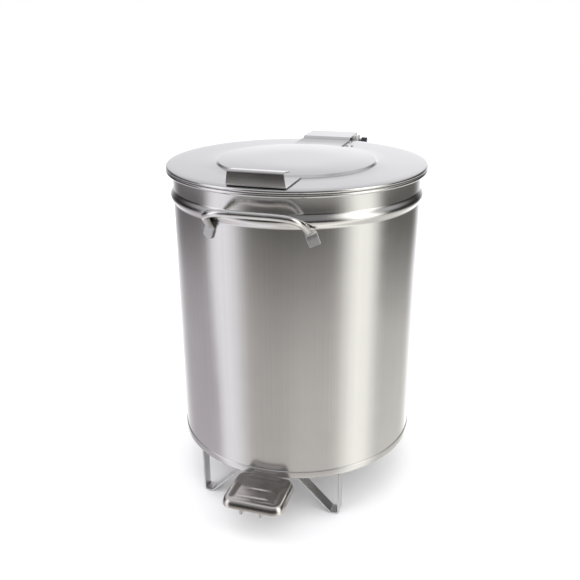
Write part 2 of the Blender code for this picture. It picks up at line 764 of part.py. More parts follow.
def main():
    clear_scene()
    collection(NAME)
    collection("cutters")
    build_body_shell()
    build_bottom_pan()
    build_inner_bucket()
    build_leg_bar("front_leg_bar", -1)
    build_leg_bar("rear_leg_bar", 1)
    build_carry_handle()
    build_body_hinge_bracket()
    build_rod_guide()
    build_guide_bush("upper_guide_bush", 0.488 + EAR_THICK)
    build_guide_bush("lower_guide_bush", 0.1205)
    build_hinge_pin()
    build_hinge_washers()
    build_hinge_nuts()
    build_pedal_hanger()
    build_pedal_axle()
    build_axle_clips()
    build_pivot_washers()
    lid = [build_lid_panel(), build_lid_grip(), build_lid_hinge_plate(),
           build_lift_finger(), *build_lid_rivets()]
    pivot_empty("lid_hinge_axis", (0, HINGE_Y, HINGE_Z), lid)
    lift = [build_lift_rod(), build_rod_cap(), build_rod_eye(), build_rod_lock_nut()]
    pivot_empty("lift_rod_axis", (0, ROD_Y, ROD_PIN_Z), lift)
    pedal = [build_pedal_pad(), build_lever_arm("lever_arm_left", -1),
             build_lever_arm("lever_arm_right", 1), build_pivot_tube(),
             build_rod_pin(), *build_rod_pin_clips()]
    pivot_empty("pedal_axis", (0, PIVOT_Y, PIVOT_Z), pedal)


main()
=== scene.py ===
import json
import math

import bmesh
import bpy
from mathutils import Matrix, Vector

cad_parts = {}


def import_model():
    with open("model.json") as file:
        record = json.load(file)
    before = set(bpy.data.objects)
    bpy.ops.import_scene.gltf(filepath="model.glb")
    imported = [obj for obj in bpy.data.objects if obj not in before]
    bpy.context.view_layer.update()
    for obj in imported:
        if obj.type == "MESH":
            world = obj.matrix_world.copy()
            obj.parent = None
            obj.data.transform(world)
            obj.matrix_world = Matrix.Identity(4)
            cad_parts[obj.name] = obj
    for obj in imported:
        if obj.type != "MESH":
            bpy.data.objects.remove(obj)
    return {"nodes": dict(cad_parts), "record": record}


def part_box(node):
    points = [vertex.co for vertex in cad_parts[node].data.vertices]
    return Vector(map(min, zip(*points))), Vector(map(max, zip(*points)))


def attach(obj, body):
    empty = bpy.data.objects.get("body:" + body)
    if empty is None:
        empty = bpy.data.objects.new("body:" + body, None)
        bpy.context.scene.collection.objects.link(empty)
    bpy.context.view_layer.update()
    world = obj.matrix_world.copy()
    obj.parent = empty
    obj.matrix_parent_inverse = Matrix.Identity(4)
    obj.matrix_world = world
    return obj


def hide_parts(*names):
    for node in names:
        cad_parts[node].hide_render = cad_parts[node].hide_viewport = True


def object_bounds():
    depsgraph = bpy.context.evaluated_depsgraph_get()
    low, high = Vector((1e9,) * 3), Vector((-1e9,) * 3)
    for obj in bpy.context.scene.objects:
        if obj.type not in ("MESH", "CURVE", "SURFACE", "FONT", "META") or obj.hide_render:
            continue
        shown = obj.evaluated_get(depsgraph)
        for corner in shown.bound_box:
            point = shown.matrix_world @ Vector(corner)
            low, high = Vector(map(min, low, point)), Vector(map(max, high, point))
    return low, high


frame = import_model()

cad_low, cad_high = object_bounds()

BODY_OF = {node: body for body, nodes in frame["record"]["behaviour"]["bodies"].items()
           for node in nodes}

# ------------------------------------------------------------------ sizes, in metres

shell_low, shell_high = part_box("body_shell")
lid_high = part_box("lid_panel")[1]
grip_low, grip_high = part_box("lid_grip")
pad_low, pad_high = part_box("pedal_pad")
handle_low, handle_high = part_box("carry_handle")
bucket_low, bucket_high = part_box("inner_bucket")
pan_low, pan_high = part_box("bottom_pan")

BODY_SHEET = 0.001
LID_SHEET = 0.0008
GRIP_SHEET = 0.0015
PAD_SHEET = 0.0015
BUCKET_WALL = 0.002
LEG_BAR = 0.003
HANDLE_BAR_R = 0.005
HINGE_PIN_R = 0.003
HINGE_PIN_HEAD = 0.003

# The bead radii are those of the rim and the lid's rolled edge.
RIM_BEAD = 0.0027
RIM_R = shell_high.x - RIM_BEAD + 0.00005
RIM_Z = shell_high.z - RIM_BEAD + 0.0003
WALL_R = RIM_R - 0.0070
RING_Z = RIM_Z - 0.0366
RING_HALF = 0.0102
RING_OUT = 0.0045
SEAM_Z = shell_low.z + 0.0112
HEM_OUT = 0.0008

LID_BEAD = 0.0026
LID_BEAD_R = lid_high.x - LID_BEAD
DISC_Z = lid_high.z
LID_Z = DISC_Z - 0.0032
LID_BEAD_Z = LID_Z - LID_BEAD
DISC_TOP_R = 0.1214
DISC_FOOT_R = 0.1241
DISC_FILLET = 0.0014

GRIP_REACH = DISC_FOOT_R + 0.0016
GRIP_DEPTH = 0.0245
GRIP_DROP = 0.0035
GRIP_BEND = 0.0030
GRIP_TAPER = 3.1

FOOT_INNER_X = 0.099
LEG_BEND = 0.004

TAB_TURN = math.radians(22.8)
TAB_TILT = math.radians(21.0)
TAB_HALF_WIDTH = 0.0084
TAB_HALF_THICK = 0.0020
TAB_HALF_LENGTH = 0.0105
HANDLE_CORNER_X = 0.066
HANDLE_BEND = 0.036
HANDLE_RUN = 0.027

PAD_CORNER = 0.017
PAD_EDGE = 0.0068
PAD_DISH = 0.0022
DISH_START = 0.0070
DISH_WIDTH = 0.0124
RIB_HEIGHT = 0.0011
RIB_REACH = 0.0024
RIBS = ((pad_low.y + 0.0435, -0.034, 0.021), (pad_low.y + 0.0225, -0.032, 0.018))


# ------------------------------------------------------------------ mesh helpers

SHARP_ANGLE = 32
FLAT_ANGLE = math.radians(0.6)
MERGE_DISTANCE = 0.000002


def arc(cx, cy, radius, start, end, segments):
    """Points on an arc in degrees, both ends included."""
    points = []
    for i in range(segments + 1):
        angle = math.radians(start + (end - start) * i / segments)
        points.append((cx + radius * math.cos(angle), cy + radius * math.sin(angle)))
    return points


def round_corners(points, radii, segments):
    """Replace the corners of a polyline by arcs; radii is one number or one for each point."""
    count = len(points)
    if not hasattr(radii, "__len__"):
        radii = [radii] * count
    out = []
    for i, here in enumerate(points):
        if radii[i] <= 0 or i in (0, count - 1):
            out.append(tuple(here))
            continue
        corner = Vector(here)
        back = Vector(points[i - 1]) - corner
        ahead = Vector(points[i + 1]) - corner
        half = back.angle(ahead) / 2
        reach = min(radii[i] / math.tan(half), 0.49 * back.length, 0.49 * ahead.length)
        radius = reach * math.tan(half)
        inward = (back.normalized() + ahead.normalized()).normalized()
        centre = corner + inward * (radius / math.sin(half))
        first = corner + back.normalized() * reach - centre
        last = corner + ahead.normalized() * reach - centre
        swing = first.angle(last)
        for k in range(segments + 1):
            a = math.sin(swing * (1 - k / segments)) / math.sin(swing)
            b = math.sin(swing * k / segments) / math.sin(swing)
            out.append(tuple(centre + first * a + last * b))
    return out


def offset_path(path, distance):
    """The path moved sideways; a positive distance is to the left of its direction."""
    moved = []
    for i, here in enumerate(path):
        before = Vector(path[max(i - 1, 0)])
        after = Vector(path[min(i + 1, len(path) - 1)])
        here = Vector(here)
        first = (here - before).normalized() if i > 0 else (after - here).normalized()
        second = (after - here).normalized() if i < len(path) - 1 else first
        normal_a = Vector((-first.y, first.x))
        normal_b = Vector((-second.y, second.x))
        middle = (normal_a + normal_b).normalized()
        moved.append(tuple(here + middle * (distance / max(middle.dot(normal_a), 0.5))))
    return moved


def sheet_outline(path, thickness, side):
    """Closed outline of a sheet whose one face is the path and the other is on one side."""
    return list(path) + list(reversed(offset_path(path, side * thickness)))


def finish_mesh(bm, name, angle):
    """Mesh from a bmesh, with outward normals and smooth shading up to an angle in degrees."""
    bmesh.ops.recalc_face_normals(bm, faces=bm.faces)
    mesh = bpy.data.meshes.new(name)
    bm.to_mesh(mesh)
    bm.free()
    mesh.shade_smooth()
    mesh.set_sharp_from_angle(angle=math.radians(angle))
    return mesh


def piece(name, mesh, body, replaced, mat):
    """Link a finished mesh, give it its material, its body and the nodes it stands for."""
    obj = bpy.data.objects.new(name, mesh)
    bpy.context.scene.collection.objects.link(obj)
    mesh.materials.clear()
    mesh.materials.append(mat)
    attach(obj, body)
    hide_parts(*replaced)
    return obj


def revolve(name, outline, segments, closed=True, centre=(0.0, 0.0)):
    """Turn an outline of (radius, height) about the vertical line through centre."""
    bm = bmesh.new()
    rings = []
    for r, z in outline:
        if r < 1e-6:
            rings.append([bm.verts.new((centre[0], centre[1], z))])
            continue
        ring = []
        for i in range(segments):
            turn = 2 * math.pi * i / segments
            ring.append(bm.verts.new((centre[0] + r * math.cos(turn),
                                      centre[1] + r * math.sin(turn), z)))
        rings.append(ring)
    pairs = list(zip(rings, rings[1:]))
    if closed:
        pairs.append((rings[-1], rings[0]))
    for a, b in pairs:
        for i in range(segments):
            j = (i + 1) % segments
            if len(a) == 1 and len(b) == 1:
                break
            if len(a) == 1:
                bm.faces.new((a[0], b[j], b[i]))
            elif len(b) == 1:
                bm.faces.new((a[i], a[j], b[0]))
            else:
                bm.faces.new((a[i], a[j], b[j], b[i]))
    return finish_mesh(bm, name, SHARP_ANGLE)


def revolve_across(name, outline, segments, centre):
    """Turn an outline of (radius, x) about a line along X through centre."""
    mesh = revolve(name, outline, segments, closed=False)
    mesh.transform(Matrix.Translation(centre) @ Matrix.Rotation(math.pi / 2, 4, "Y"))
    return mesh


def loft(name, sections):
    """Closed skin over equal-length rings of points, with a cap at each end."""
    bm = bmesh.new()
    rings = [[bm.verts.new(p) for p in section] for section in sections]
    count = len(sections[0])
    for a, b in zip(rings, rings[1:]):
        for i in range(count):
            j = (i + 1) % count
            bm.faces.new((a[i], a[j], b[j], b[i]))
    bm.faces.new(rings[0])
    bm.faces.new(rings[-1])
    return finish_mesh(bm, name, SHARP_ANGLE)


def add_bevel(obj, width, segments=3, angle=40):
    """Round an object's sharp edges."""
    bevel = obj.modifiers.new("edges", "BEVEL")
    bevel.width = width
    bevel.segments = segments
    bevel.limit_method = "ANGLE"
    bevel.angle_limit = math.radians(angle)
    bevel.use_clamp_overlap = True
    bevel.harden_normals = True


def folded_sheet(name, path, places, along="X", start=None):
    """A bent strip of sheet without thickness: a line of (a, b) repeated at the places along.

    start(place), where given, moves the line's first point to its own place in a.
    """
    bm = bmesh.new()
    columns = []
    for place in places:
        column = []
        for i, (a, b) in enumerate(path):
            if i == 0 and start is not None:
                a = start(place)
            column.append(bm.verts.new((place, a, b) if along == "X" else (a, place, b)))
        columns.append(column)
    for left, right in zip(columns, columns[1:]):
        for i in range(len(path) - 1):
            bm.faces.new((left[i], left[i + 1], right[i + 1], right[i]))
    bmesh.ops.recalc_face_normals(bm, faces=bm.faces)
    mesh = bpy.data.meshes.new(name)
    bm.to_mesh(mesh)
    bm.free()
    mesh.shade_smooth()
    return mesh


def spread(low, high, count):
    """Values from low to high in count even steps, both ends included."""
    return [low + (high - low) * i / count for i in range(count + 1)]


def add_solidify(obj, thickness, offset=0.0, even=True):
    """Give a sheet its thickness, on both sides unless an offset says otherwise."""
    solidify = obj.modifiers.new("sheet", "SOLIDIFY")
    solidify.thickness = thickness
    solidify.offset = offset
    solidify.use_even_offset = even


def refined(node, bevel, mat):
    """A copy of a flat-sided node with its triangles merged and its edges rounded."""
    bm = bmesh.new()
    bm.from_mesh(frame["nodes"][node].data)
    bmesh.ops.remove_doubles(bm, verts=bm.verts, dist=MERGE_DISTANCE)
    bmesh.ops.dissolve_limit(bm, angle_limit=FLAT_ANGLE, verts=bm.verts, edges=bm.edges)
    mesh = finish_mesh(bm, node + "_fine", SHARP_ANGLE)
    obj = piece(node + "_fine", mesh, BODY_OF[node], [node], mat)
    add_bevel(obj, bevel, 2, SHARP_ANGLE)
    return obj


# ------------------------------------------------------------------ materials

class Nodes:
    """Short forms for building a node tree."""

    def __init__(self, tree):
        self.tree = tree

    def add(self, kind, **settings):
        node = self.tree.nodes.new(kind)
        for key, value in settings.items():
            setattr(node, key, value)
        return node

    def link(self, source, target):
        self.tree.links.new(source, target)

    def put(self, socket, value):
        if isinstance(value, bpy.types.NodeSocket):
            self.link(value, socket)
        else:
            socket.default_value = value

    def math(self, operation, a, b=0.0, c=0.0):
        node = self.add("ShaderNodeMath", operation=operation)
        for socket, value in zip(node.inputs, (a, b, c)):
            self.put(socket, value)
        return node.outputs[0]

    def ease(self, value, low, high, to_low=0.0, to_high=1.0):
        """Smooth step of a value from low to high."""
        node = self.add("ShaderNodeMapRange", interpolation_type="SMOOTHSTEP")
        for key, put in (("Value", value), ("From Min", low), ("From Max", high),
                         ("To Min", to_low), ("To Max", to_high)):
            self.put(node.inputs[key], put)
        return node.outputs[0]

    def noise(self, vector, scale, detail=3.0, rough=0.5):
        node = self.add("ShaderNodeTexNoise")
        self.put(node.inputs["Vector"], vector)
        node.inputs["Scale"].default_value = scale
        node.inputs["Detail"].default_value = detail
        node.inputs["Roughness"].default_value = rough
        return node.outputs["Fac"]

    def stretch(self, vector, scale):
        node = self.add("ShaderNodeMapping")
        self.put(node.inputs["Vector"], vector)
        node.inputs["Scale"].default_value = scale
        return node.outputs[0]

    def mix_colour(self, factor, a, b):
        node = self.add("ShaderNodeMix", data_type="RGBA")
        self.put(node.inputs[0], factor)
        self.put(node.inputs[6], a)
        self.put(node.inputs[7], b)
        return node.outputs[2]

    def tint(self, value, colour):
        """A colour times a value."""
        node = self.add("ShaderNodeVectorMath", operation="SCALE")
        node.inputs[0].default_value = colour
        self.put(node.inputs["Scale"], value)
        return node.outputs[0]

    def ramp(self, value, stops):
        """Grey ramp through stops of (place, level)."""
        node = self.add("ShaderNodeValToRGB")
        self.put(node.inputs[0], value)
        elements = node.color_ramp.elements
        while len(elements) < len(stops):
            elements.new(0.5)
        for element, (place, level) in zip(elements, stops):
            element.position = place
            element.color = (level, level, level, 1.0)
        return node.outputs[0]


def new_material(name):
    """A node material, its short-form builder and its shader."""
    mat = bpy.data.materials.new(name)
    mat.use_nodes = True
    nodes = Nodes(mat.node_tree)
    return mat, nodes, mat.node_tree.nodes["Principled BSDF"]


def shaded(colour, factor):
    """A colour made darker or lighter, with full opacity."""
    return tuple(min(c * factor, 1.0) for c in colour) + (1.0,)


def grain_coordinates(nodes, grain):
    """Coordinates in metres whose first axis runs across the grain and whose third along it."""
    place = nodes.add("ShaderNodeTexCoord").outputs["Object"]
    if grain != "round":
        return place
    parts = nodes.add("ShaderNodeSeparateXYZ")
    nodes.link(place, parts.inputs[0])
    turn = nodes.math("ARCTAN2", parts.outputs[1], parts.outputs[0])
    around = nodes.math("MULTIPLY", turn, WALL_R)
    joined = nodes.add("ShaderNodeCombineXYZ")
    nodes.link(around, joined.inputs[0])
    nodes.link(parts.outputs[2], joined.inputs[2])
    return joined.outputs[0]


GRAIN_STRETCH = {"round": (900.0, 1.0, 1.5), "x": (4.0, 900.0, 900.0), "z": (700.0, 700.0, 14.0)}


def steel(name, grain, colour=(0.62, 0.612, 0.603), roughness=0.17, spread_by=0.05,
          anisotropy=0.0, bump=0.04, cloud=0.05):
    """Brushed stainless steel: fine grain lines and faint clouding."""
    mat, nodes, shader = new_material(name)
    place = grain_coordinates(nodes, grain)
    lines = nodes.noise(nodes.stretch(place, GRAIN_STRETCH[grain]), 1.0, 4.0, 0.6)
    clouds = nodes.noise(place, 22.0, 3.0, 0.55)
    dark = shaded(colour, 1.0 - cloud)
    light = shaded(colour, 1.0 + cloud)
    shade = nodes.math("MULTIPLY_ADD", lines, 0.6, nodes.math("MULTIPLY", clouds, 0.4))
    nodes.link(nodes.mix_colour(nodes.ease(shade, 0.3, 0.7), dark, light),
               shader.inputs["Base Color"])
    shader.inputs["Metallic"].default_value = 1.0
    rough = nodes.ease(nodes.math("MULTIPLY_ADD", clouds, 0.5, nodes.math("MULTIPLY", lines, 0.5)),
                       0.3, 0.7, roughness - spread_by, roughness + spread_by)
    nodes.link(rough, shader.inputs["Roughness"])
    shader.inputs["Anisotropic"].default_value = anisotropy
    if anisotropy > 0.0:
        tangent = nodes.add("ShaderNodeTangent", direction_type="RADIAL", axis="Z")
        nodes.link(tangent.outputs[0], shader.inputs["Tangent"])
    fine = nodes.add("ShaderNodeBump")
    fine.inputs["Strength"].default_value = bump
    fine.inputs["Distance"].default_value = 0.0002
    nodes.link(lines, fine.inputs["Height"])
    nodes.link(fine.outputs[0], shader.inputs["Normal"])
    return mat


def plastic(name, colour, roughness, grain_size=600.0):
    """Moulded plastic: a fine spark-eroded texture and a little uneven gloss."""
    mat, nodes, shader = new_material(name)
    place = nodes.add("ShaderNodeTexCoord").outputs["Object"]
    speckle = nodes.noise(place, grain_size, 2.0, 0.6)
    clouds = nodes.noise(place, 30.0, 3.0, 0.5)
    nodes.link(nodes.mix_colour(clouds, shaded(colour, 0.88), shaded(colour, 1.1)),
               shader.inputs["Base Color"])
    nodes.link(nodes.ease(speckle, 0.3, 0.7, roughness - 0.06, roughness + 0.06),
               shader.inputs["Roughness"])
    bump = nodes.add("ShaderNodeBump")
    bump.inputs["Strength"].default_value = 0.15
    bump.inputs["Distance"].default_value = 0.0002
    nodes.link(speckle, bump.inputs["Height"])
    nodes.link(bump.outputs[0], shader.inputs["Normal"])
    return mat


WALL_STEEL = steel("wall_steel", "round", roughness=0.165, spread_by=0.02, anisotropy=0.5,
                   bump=0.012, cloud=0.04)
LID_STEEL = steel("lid_steel", "x", (0.64, 0.635, 0.63), 0.16, 0.03, bump=0.02)
BAR_STEEL = steel("bar_steel", "x", (0.66, 0.65, 0.64), 0.20, 0.03, bump=0.02)
LEG_STEEL = steel("leg_steel", "z", (0.66, 0.65, 0.66), 0.30, 0.04, bump=0.03, cloud=0.10)
PLATE_STEEL = steel("plate_steel", "x", roughness=0.24, spread_by=0.02, bump=0.02, cloud=0.03)
PAD_STEEL = steel("pad_steel", "x", (0.66, 0.627, 0.605), 0.24, 0.02, bump=0.006,
                  cloud=0.08)
PIN_STEEL = steel("pin_steel", "x", (0.56, 0.56, 0.56), 0.22, 0.05)
ROD_STEEL = steel("rod_steel", "z", (0.57, 0.57, 0.57), 0.2, 0.05)
TAB_STEEL = steel("tab_steel", "z", (0.60, 0.61, 0.62), 0.5, 0.08, bump=0.25)
BLACK_NYLON = plastic("black_nylon", (0.03, 0.03, 0.032), 0.42)
PALE_NYLON = plastic("pale_nylon", (0.74, 0.73, 0.69), 0.45)
BUCKET_PLASTIC = plastic("bucket_plastic", (0.12, 0.13, 0.14), 0.4, 420.0)


# ------------------------------------------------------------------ body

def body_wall():
    """Wall in one sheet: curled rim, ledge, stiffening ring, wall and hem."""
    half = BODY_SHEET / 2
    inner = WALL_R - half
    rim_top = RIM_Z + RIM_BEAD - half
    path = arc(RIM_R, RIM_Z, RIM_BEAD - half, 170, 450, 30)[:-1]
    path += round_corners([(RIM_R, rim_top), (inner, rim_top - 0.0004), (inner, rim_top - 0.02)],
                          0.0022, 6)[:-1]
    # Short flat stretches beside the ring and the hem keep the wall's shading flat.
    ring_top = RING_Z + RING_HALF
    ring_foot = RING_Z - RING_HALF
    path += [(inner, ring_top + 0.0050), (inner, ring_top + 0.0008)]
    for along in spread(-1.0, 1.0, 24):
        path.append((inner + RING_OUT * math.cos(math.pi * along / 2) ** 1.6,
                     RING_Z - RING_HALF * along))
    path += [(inner, ring_foot - 0.0008), (inner, ring_foot - 0.0050)]
    path += [(inner, SEAM_Z + 0.0080), (inner, SEAM_Z + 0.0030)]
    groove = inner - 0.0003
    hem = inner + HEM_OUT
    path += round_corners([(inner, SEAM_Z + 0.0015), (inner, SEAM_Z + 0.0009),
                           (groove, SEAM_Z + 0.0005), (groove, SEAM_Z),
                           (hem, SEAM_Z - 0.0008), (hem, shell_low.z + 0.0010),
                           (hem - 0.0004, shell_low.z + half)], 0.0004, 3)
    outline = offset_path(path, half) + list(reversed(offset_path(path, -half)))
    mesh = revolve("body_wall", outline, 288)
    return piece("body_wall", mesh, "bin_body", ["body_shell"], WALL_STEEL)


def bottom():
    """Pressed bottom with a turned-up edge."""
    outer = pan_high.x
    low = pan_low.z
    path = round_corners([(outer, pan_high.z), (outer, low), (outer - 0.03, low)], 0.0030, 6)
    path += [(outer - 0.040, low), (0.0, low)]
    mesh = revolve("bottom_sheet", sheet_outline(path, BODY_SHEET, -1), 192)
    return piece("bottom_sheet", mesh, "bin_body", ["bottom_pan"], PLATE_STEEL)


def bucket():
    """Moulded bucket with a turned-down rim."""
    rim_r = bucket_high.x
    top = bucket_high.z
    base = bucket_low.z
    base_r = rim_r - 0.01804
    path = round_corners([(rim_r, top - 0.008), (rim_r, top), (rim_r - 0.006, top),
                          (base_r, base), (0.0, base)], [0, 0.002, 0.002, 0.010, 0], 6)
    mesh = revolve("bucket_shell", sheet_outline(path, BUCKET_WALL, -1), 160)
    return piece("bucket_shell", mesh, "bin_body", ["inner_bucket"], BUCKET_PLASTIC)


def leg_bar(name, node):
    """Flat bar with rounded edges: uprights, feet on the floor and 45 degree struts."""
    low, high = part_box(node)
    upright_x = high.x - LEG_BAR / 2
    cross_z = high.z - LEG_BAR / 2
    foot_z = LEG_BAR / 2
    half = [(upright_x, high.z), (upright_x, foot_z), (FOOT_INNER_X, foot_z),
            (FOOT_INNER_X - (cross_z - foot_z), cross_z)]
    path = round_corners(half + [(-x, z) for x, z in reversed(half)], LEG_BEND, 7)
    mesh = folded_sheet(name, path, spread(low.y, high.y, 4), "Y")
    obj = piece(name, mesh, "bin_body", [node], LEG_STEEL)
    add_solidify(obj, LEG_BAR)
    add_bevel(obj, 0.0007)
    return obj


def smooth_path(points, steps):
    """Catmull-Rom curve through the points."""
    out = []
    for i in range(len(points) - 1):
        p0 = points[max(i - 1, 0)]
        p1, p2 = points[i], points[i + 1]
        p3 = points[min(i + 2, len(points) - 1)]
        for k in range(steps):
            t = k / steps
            out.append(0.5 * ((2 * p1) + (p2 - p0) * t + (2 * p0 - 5 * p1 + 4 * p2 - p3) * t * t
                              + (3 * p1 - p0 - 3 * p2 + p3) * t ** 3))
    out.append(points[-1].copy())
    return out


def handle_line():
    """Points along the bar, the direction the right tab faces, and the tab's height."""
    out = Vector((math.sin(TAB_TURN), -math.cos(TAB_TURN), 0.0))
    sideways = Vector((math.cos(TAB_TURN), math.sin(TAB_TURN), 0.0))
    down = (sideways * math.sin(TAB_TILT) - Vector((0, 0, 1)) * math.cos(TAB_TILT)).normalized()
    tab = out * (WALL_R + 0.0023) + Vector((0, 0, handle_low.z + 0.01072))
    tab_top = Vector((0.0706, handle_high.y - 0.01581, handle_low.z + 0.02422))
    corner = Vector((HANDLE_CORNER_X, handle_low.y + HANDLE_BAR_R, handle_high.z - HANDLE_BAR_R))
    points = [tab + down * TAB_HALF_LENGTH, tab, tab - down * 0.008, tab_top + out * 0.0005]
    first = corner + (tab_top - corner).normalized() * HANDLE_RUN
    last = corner + Vector((-HANDLE_BEND, 0, 0))
    for t in spread(0.0, 1.0, 5):
        points.append((1 - t) ** 2 * first + 2 * t * (1 - t) * corner + t ** 2 * last)
    points += [Vector((0.02, corner.y, corner.z)), Vector((0.0, corner.y, corner.z))]
    half = smooth_path(points, 8)
    return half + [Vector((-p.x, p.y, p.z)) for p in reversed(half[:-1])], out, tab.z


def carry_handle():
    """Round bar whose ends are pressed flat into tabs with a dull face."""
    line, out, tab_z = handle_line()
    flat_steps = 14
    fade_steps = 12
    end_width = 0.86
    ring_steps = 32
    sections = []
    count = len(line)
    for i, here in enumerate(line):
        ahead = (line[min(i + 1, count - 1)] - line[max(i - 1, 0)]).normalized()
        mirror = 1 if i < count / 2 else -1
        wide = ahead.cross(Vector((out.x * mirror, out.y, 0.0))).normalized()
        thick = wide.cross(ahead).normalized()
        step = min(i, count - 1 - i)
        flat = 1.0 - max(0.0, min(1.0, (step - flat_steps) / fade_steps))
        flat = flat * flat * (3 - 2 * flat)
        half_width = HANDLE_BAR_R + (TAB_HALF_WIDTH - HANDLE_BAR_R) * flat
        half_width *= end_width + (1.0 - end_width) * math.sqrt(min(step / 2.0, 1.0))
        half_thick = HANDLE_BAR_R + (TAB_HALF_THICK - HANDLE_BAR_R) * flat
        # Superellipse power: round in the bar, nearly square in the tab.
        squareness = 2 / (2.0 + 5.0 * flat)
        ring = []
        for k in range(ring_steps):
            angle = 2 * math.pi * k / ring_steps
            c, s = math.cos(angle), math.sin(angle)
            ring.append(here + wide * half_width * math.copysign(abs(c) ** squareness, c)
                        + thick * half_thick * math.copysign(abs(s) ** squareness, s))
        sections.append(ring)
    mesh = loft("handle_bar", sections)
    obj = piece("handle_bar", mesh, "bin_body", ["carry_handle"], BAR_STEEL)
    mesh.materials.append(TAB_STEEL)
    for face in mesh.polygons:
        if face.center.z < tab_z + TAB_HALF_LENGTH:
            face.material_index = 1
    return obj


# ------------------------------------------------------------------ lid

def lid_sheet():
    """Flat lid with a low raised disc and an edge rolled over flush."""
    # The points at 50, 150 and 185 mm only divide flat stretches.
    path = [(0.0, DISC_Z)]
    path += round_corners([(0.05, DISC_Z), (DISC_TOP_R, DISC_Z), (DISC_FOOT_R, LID_Z),
                           (0.15, LID_Z)], [0, DISC_FILLET, DISC_FILLET, 0], 6)
    path += [(0.185, LID_Z)]
    path += arc(LID_BEAD_R, LID_BEAD_Z, LID_BEAD, 90, -190, 34)
    mesh = revolve("lid_sheet", sheet_outline(path, LID_SHEET, -1), 288)
    return piece("lid_sheet", mesh, "lid", ["lid_panel"], LID_STEEL)


def lid_grip():
    """Grip: base flange up to the disc, upright face at the rim, flange on top."""
    lie = grip_low.z + GRIP_SHEET / 2
    top = grip_high.z - GRIP_SHEET / 2
    front = grip_low.y + GRIP_SHEET / 2
    path = [(-GRIP_REACH, lie), (-0.150, lie), (front, lie), (front, top),
            (front + GRIP_DEPTH, top - GRIP_DROP)]
    path = round_corners(path, [0, 0, GRIP_BEND, GRIP_BEND, 0], 8)
    mesh = folded_sheet("grip_sheet", path, spread(-grip_high.x, grip_high.x, 48),
                        start=lambda x: -math.sqrt(GRIP_REACH ** 2 - x ** 2))
    for vertex in mesh.vertices:
        vertex.co.x *= 1.0 - GRIP_TAPER * (vertex.co.z - lie)
    obj = piece("grip_sheet", mesh, "lid", ["lid_grip"], PLATE_STEEL)
    add_solidify(obj, GRIP_SHEET)
    add_bevel(obj, 0.0004)
    return obj


def hinge_plate():
    """Bent plate that carries the lid on its pin."""
    return refined("lid_hinge_plate", 0.0004, LID_STEEL)


# ------------------------------------------------------------------ pedal

def rounded_loop(half_x, low_y, high_y, radius, corner_steps=10, side_steps=12):
    """Closed rounded rectangle with evenly placed points on sides and corners."""
    points = []
    corners = [(half_x - radius, low_y + radius, -90), (half_x - radius, high_y - radius, 0),
               (-half_x + radius, high_y - radius, 90), (-half_x + radius, low_y + radius, 180)]
    for i, (cx, cy, start) in enumerate(corners):
        turned = arc(cx, cy, radius, start, start + 90, corner_steps)
        points += turned
        nx, ny, nstart = corners[(i + 1) % 4]
        target = arc(nx, ny, radius, nstart, nstart + 90, 1)[0]
        for k in range(1, side_steps):
            t = k / side_steps
            points.append((turned[-1][0] * (1 - t) + target[0] * t,
                           turned[-1][1] * (1 - t) + target[1] * t))
    return points


def tread_height(x, y):
    """Height of the tread's dish with its two pressed ribs."""
    height = pad_high.z - PAD_DISH
    for rib_y, start, end in RIBS:
        along = max(start - x, x - end, 0.0)
        distance = math.hypot(along, y - rib_y) / RIB_REACH
        if distance < 1.0:
            height += RIB_HEIGHT * (0.5 + 0.5 * math.cos(math.pi * distance))
    return height


def tread_rim():
    """(inset, height) from the skirt's foot over the rounded edge down into the dish."""
    top = pad_high.z
    skirt = pad_low.z
    tread = top - PAD_DISH
    profile = []
    for swing in spread(0.0, math.radians(88.0), 14):
        profile.append((PAD_EDGE * (1.0 - math.cos(swing)),
                        skirt + (top - skirt) * math.sin(swing)))
    for fall in spread(0.0, 1.0, 14):
        profile.append((DISH_START + DISH_WIDTH * fall,
                        tread + PAD_DISH * (0.5 + 0.5 * math.cos(math.pi * fall))))
    return profile


def pedal_pad():
    """Dished tread: rounded edge all round, shallow dish, two pressed ribs."""
    loops = []
    for inset, z in tread_rim():
        loops.append([(x, y, z) for x, y in
                      rounded_loop(pad_high.x - inset, pad_low.y + inset, pad_high.y - inset,
                                   max(PAD_CORNER - inset, 0.003))])
    centre_y = (pad_low.y + pad_high.y) / 2
    inner = loops[-1]
    rings = 46
    for k in range(1, rings):
        shrink = 1 - k / rings
        ring = []
        for x, y, z in inner:
            x, y = x * shrink, centre_y + (y - centre_y) * shrink
            ring.append((x, y, tread_height(x, y)))
        loops.append(ring)
    bm = bmesh.new()
    rows = [[bm.verts.new(p) for p in loop] for loop in loops]
    count = len(rows[0])
    for a, b in zip(rows, rows[1:]):
        for i in range(count):
            j = (i + 1) % count
            bm.faces.new((a[i], a[j], b[j], b[i]))
    tip = bm.verts.new((0.0, centre_y, tread_height(0.0, centre_y)))
    for i in range(count):
        bm.faces.new((rows[-1][i], rows[-1][(i + 1) % count], tip))
    mesh = finish_mesh(bm, "tread", 60)
    outward = Vector(mesh.polygons[0].center) - Vector((0, centre_y, pad_low.z))
    if mesh.polygons[0].normal.dot(outward) < 0:
        mesh.flip_normals()
    obj = piece("tread", mesh, "pedal", ["pedal_pad"], PAD_STEEL)
    add_solidify(obj, PAD_SHEET, -1.0, False)
    add_bevel(obj, 0.0004, 2, 60)
    return obj


# ------------------------------------------------------------------ small parts

def bar_outline(radius, low, high, chamfer):
    """(radius, place) outline of a round bar with chamfered ends."""
    return [(0.0, high), (radius - chamfer, high), (radius, high - chamfer),
            (radius, low + chamfer), (radius - chamfer, low), (0.0, low)]


